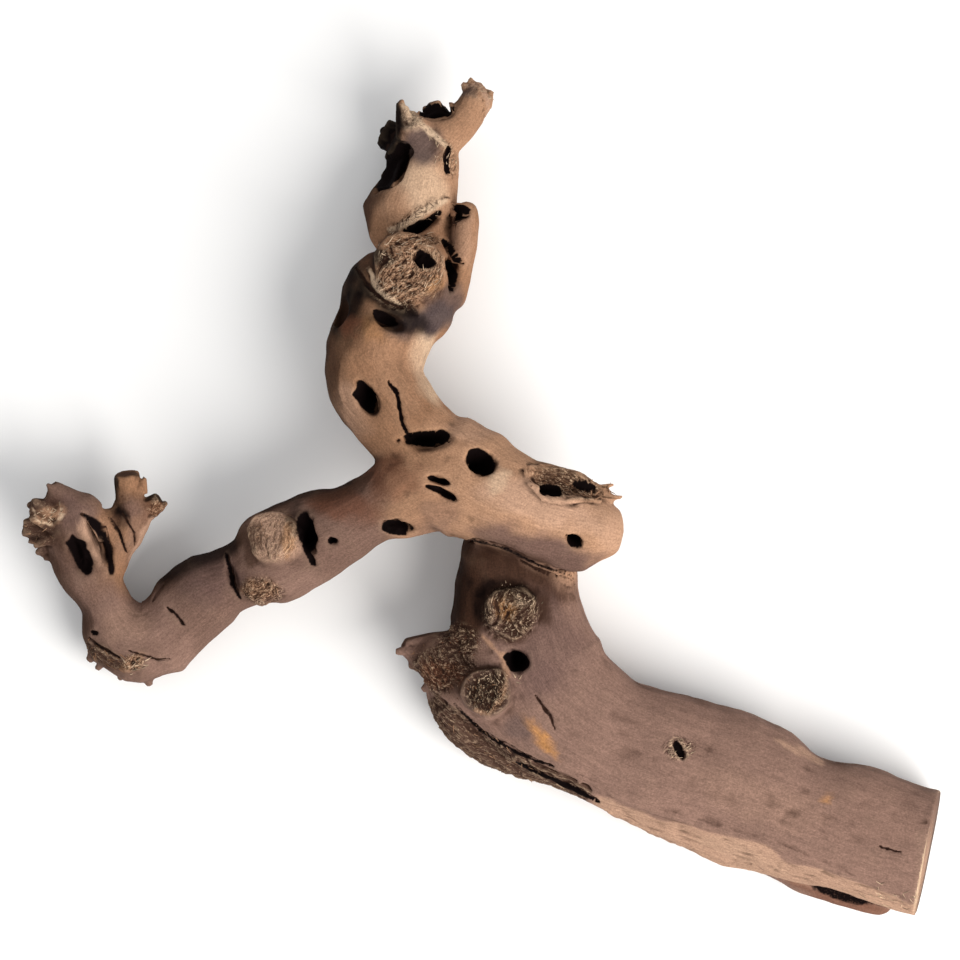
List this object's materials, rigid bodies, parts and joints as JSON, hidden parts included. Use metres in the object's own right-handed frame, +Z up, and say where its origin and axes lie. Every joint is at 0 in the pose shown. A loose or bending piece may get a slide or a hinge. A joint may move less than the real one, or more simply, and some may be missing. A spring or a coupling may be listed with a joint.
{
  "type": "dry root",
  "caption": "Dry, sandblasted vine root with a thick sawn stem, a raised gnarled shoulder, a bent arm and a knotted neck; lies flat as decor or a perch.",
  "frame": {"origin": "middle of the footprint's bounding box, on the surface the root rests on", "axes": "+X along the longest extent, from the ragged hook to the sawn stem; +Y towards the knotted crown; +Z up from the surface"},
  "size_m": [0.4206, 0.3796, 0.0809],
  "materials": {
    "dry_wood": "matte, sandblasted"
  },
  "bodies": {
    "root": {"dry_root": "dry_wood"}
  },
  "joints": []
}
